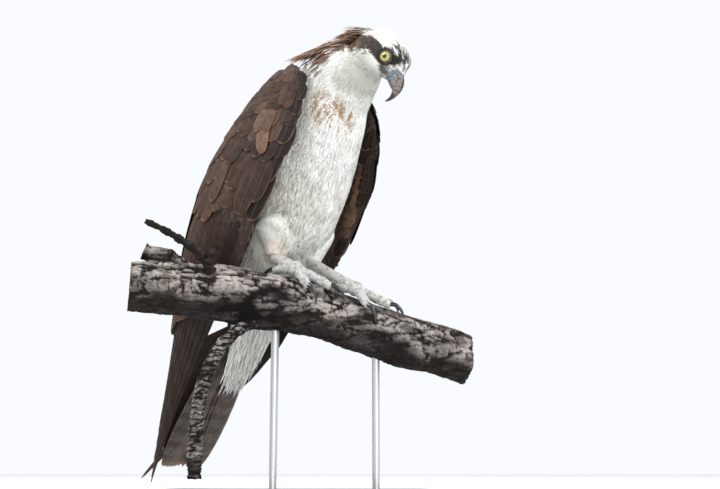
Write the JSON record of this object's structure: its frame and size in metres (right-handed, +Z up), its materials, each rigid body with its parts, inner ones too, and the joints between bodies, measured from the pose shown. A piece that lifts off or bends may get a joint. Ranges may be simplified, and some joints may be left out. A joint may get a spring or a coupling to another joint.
{
  "type": "bird figure",
  "caption": "Life-size osprey perched on a cut length of branch with a hanging twig, looking down to its left, on a flat base with slim rods.",
  "frame": {"origin": "centre of the stand base's underside", "axes": "+Z up; +X runs along the branch from its thick end with the hanging twig to its lower end; the bird's breast faces between +X and -Y, and its tail hangs between -X and +Y"},
  "size_m": [0.4238, 0.3124, 0.5576],
  "materials": {
    "white_feathers": "soft matte feathers",
    "brown_feathers": "matte feathers with a faint sheen",
    "horn": "smooth polished horn",
    "foot_skin": "rough scaly skin",
    "eye": "wet gloss",
    "bark": "rough weathered bark",
    "stand_paint": "satin black paint",
    "stand_steel": "brushed"
  },
  "bodies": {
    "root": {"bill_lower": "horn", "bill_upper": "horn", "claw_l_back": "horn", "claw_l_inner": "horn", "claw_l_middle": "horn", "claw_l_outer": "horn", "claw_r_back": "horn", "claw_r_inner": "horn", "claw_r_middle": "horn", "claw_r_outer": "horn", "eye_l": "eye", "eye_r": "eye", "foot_l": "foot_skin", "foot_r": "foot_skin", "head": "white_feathers", "neck": "white_feathers", "perch_branch": "bark", "perch_stub": "bark", "perch_twig_down": "bark", "perch_twig_up": "bark", "stand_base": "stand_paint", "stand_rod_1": "stand_steel", "stand_rod_2": "stand_steel", "tail": "brown_feathers", "tarsus_l": "foot_skin", "tarsus_r": "foot_skin", "thigh_l": "white_feathers", "thigh_r": "white_feathers", "torso": "white_feathers", "wing_l": "brown_feathers", "wing_r": "brown_feathers"}
  },
  "joints": []
}
